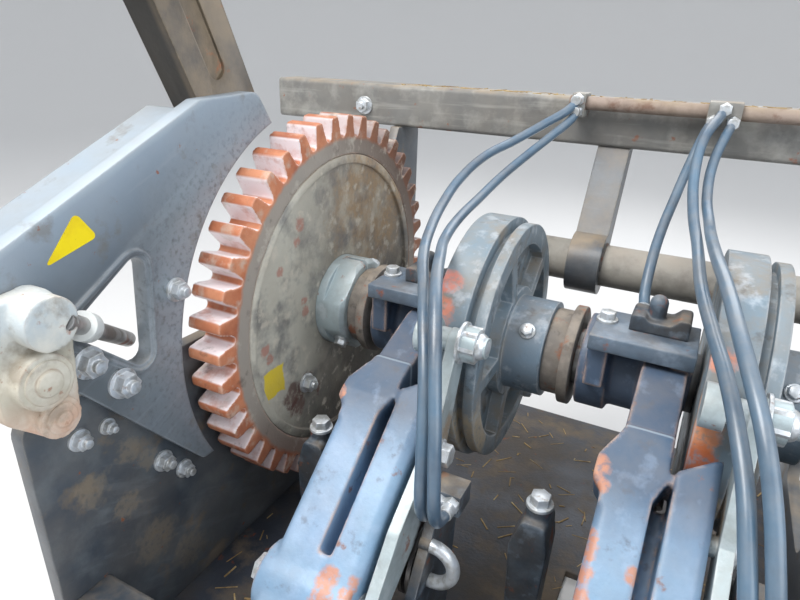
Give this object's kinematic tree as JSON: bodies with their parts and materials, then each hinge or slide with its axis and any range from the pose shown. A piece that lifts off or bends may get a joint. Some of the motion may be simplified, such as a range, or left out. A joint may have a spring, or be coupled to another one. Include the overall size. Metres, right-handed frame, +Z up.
{
  "type": "knotter drive shaft assembly of a square baler",
  "caption": "Knotter drive shaft of a square baler: toothed drive gear, knotter units with discs, frames and billhooks, on a side-plate stand.",
  "frame": {"origin": "centre of the four foot bolt holes, at the underside of the feet", "axes": "+X along the knotter shaft from the gear to the knotter units, +Y towards the rear beam, +Z up"},
  "size_m": [0.781, 0.601, 0.564],
  "materials": {
    "dark_paint": "worn satin",
    "grey_paint": "worn satin",
    "gear_iron": "rusty, polished on the flanks",
    "web_iron": "dull, mottled",
    "disc_iron": "dull, mottled",
    "brown_steel": "dusty",
    "beam_steel": "dusty",
    "bright_steel": "machined",
    "hose_rubber": "smooth, slightly glossy",
    "cream_cast": "rough cast, faded"
  },
  "bodies": {
    "stand": {"side_plate_left": "dark_paint", "side_arm_left": "dark_paint", "arm_brace": "dark_paint", "rod_bracket": "cream_cast", "adjuster_rod": "bright_steel", "side_plate_right": "dark_paint", "bearing_left": "dark_paint", "bearing_right": "dark_paint", "deck_plate": "dark_paint", "front_rail": "dark_paint", "rear_beam": "beam_steel", "cross_tube": "brown_steel", "tube_hanger": "dark_paint", "hose_rod": "brown_steel", "rod_clamps": "beam_steel", "left_hose_1": "hose_rubber", "left_hose_2": "hose_rubber", "block_hose": "hose_rubber", "right_hose_1": "hose_rubber", "right_hose_2": "hose_rubber", "knotter_frame_1": "grey_paint", "knotter_frame_2": "grey_paint", "frame_cap_1": "grey_paint", "frame_cap_2": "grey_paint", "grease_block_1": "dark_paint", "grease_block_2": "dark_paint", "twine_holder_1": "dark_paint", "twine_holder_2": "dark_paint", "twine_guide_1": "dark_paint", "twine_guide_2": "dark_paint"},
    "knotter_shaft": {"drive_shaft": "bright_steel", "gear_ring": "gear_iron", "gear_web": "web_iron", "gear_hub": "grey_paint", "spacer_1": "brown_steel", "spacer_2": "brown_steel", "knotter_disc_1": "disc_iron", "knotter_disc_2": "disc_iron"},
    "stripper_1": {"stripper_arm_1": "grey_paint"},
    "stripper_2": {"stripper_arm_2": "grey_paint"},
    "billhook_1": {"billhook_1": "bright_steel"},
    "billhook_2": {"billhook_2": "bright_steel"},
    "twine_disc_1": {"twine_disc_1": "bright_steel"},
    "twine_disc_2": {"twine_disc_2": "bright_steel"}
  },
  "joints": [
    {"name": "shaft_turn", "type": "hinge", "parent": "stand", "child": "knotter_shaft", "pos_m": [0, 0.03, 0.238], "axis": [1, 0, 0], "continuous": true},
    {"name": "stripper_swing_1", "type": "hinge", "parent": "stand", "child": "stripper_1", "pos_m": [-0.0375, -0.12352, 0.20709], "axis": [1, 0, 0], "range_deg": [0, 20]},
    {"name": "billhook_turn_1", "type": "hinge", "parent": "stand", "child": "billhook_1", "pos_m": [-0.0855, -0.10304, 0.13217], "axis": [0, -0.7826, -0.6225], "continuous": true},
    {"name": "twine_disc_turn_1", "type": "hinge", "parent": "stand", "child": "twine_disc_1", "pos_m": [-0.0535, -0.098, 0.072], "axis": [1, 0, 0], "continuous": true},
    {"name": "stripper_swing_2", "type": "hinge", "parent": "stand", "child": "stripper_2", "pos_m": [0.1625, -0.12352, 0.20709], "axis": [1, 0, 0], "range_deg": [0, 20]},
    {"name": "billhook_turn_2", "type": "hinge", "parent": "stand", "child": "billhook_2", "pos_m": [0.1145, -0.10304, 0.13217], "axis": [0, -0.7826, -0.6225], "continuous": true},
    {"name": "twine_disc_turn_2", "type": "hinge", "parent": "stand", "child": "twine_disc_2", "pos_m": [0.1465, -0.098, 0.072], "axis": [1, 0, 0], "continuous": true}
  ]
}
